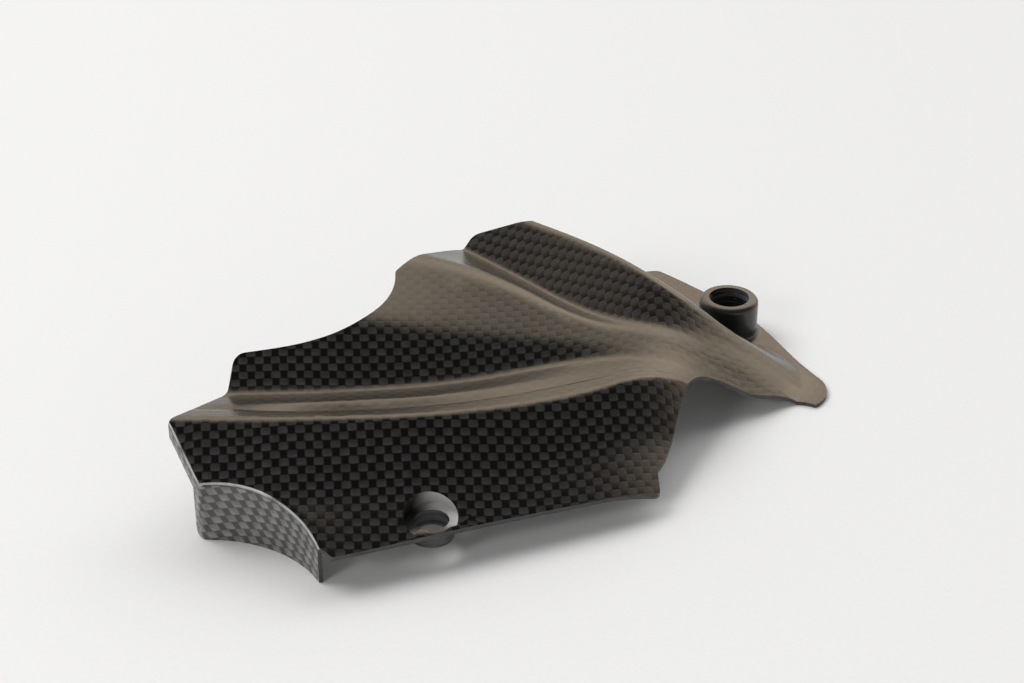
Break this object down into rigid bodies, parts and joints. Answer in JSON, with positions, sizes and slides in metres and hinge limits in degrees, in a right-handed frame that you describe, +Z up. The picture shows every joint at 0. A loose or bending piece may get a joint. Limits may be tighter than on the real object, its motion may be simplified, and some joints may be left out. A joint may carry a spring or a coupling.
{
  "type": "sprocket cover",
  "caption": "Moulded carbon laminate cover for a motorcycle's front sprocket: ribbed open-backed shell with a flange, a bolt boss and a recessed front fixing.",
  "frame": {"origin": "axis of the bolt boss, on the plane that the flange and the end wall stand on", "axes": "+Z up along the boss, away from the engine; +X along the front panel's straight bottom edge, from the end wall towards the boss; +Y towards the dome side"},
  "size_m": [0.171, 0.1106, 0.0338],
  "materials": {
    "carbon_laminate": "plain-weave carbon under a satin clear coat"
  },
  "bodies": {
    "root": {"sprocket_cover": "carbon_laminate"}
  },
  "joints": []
}
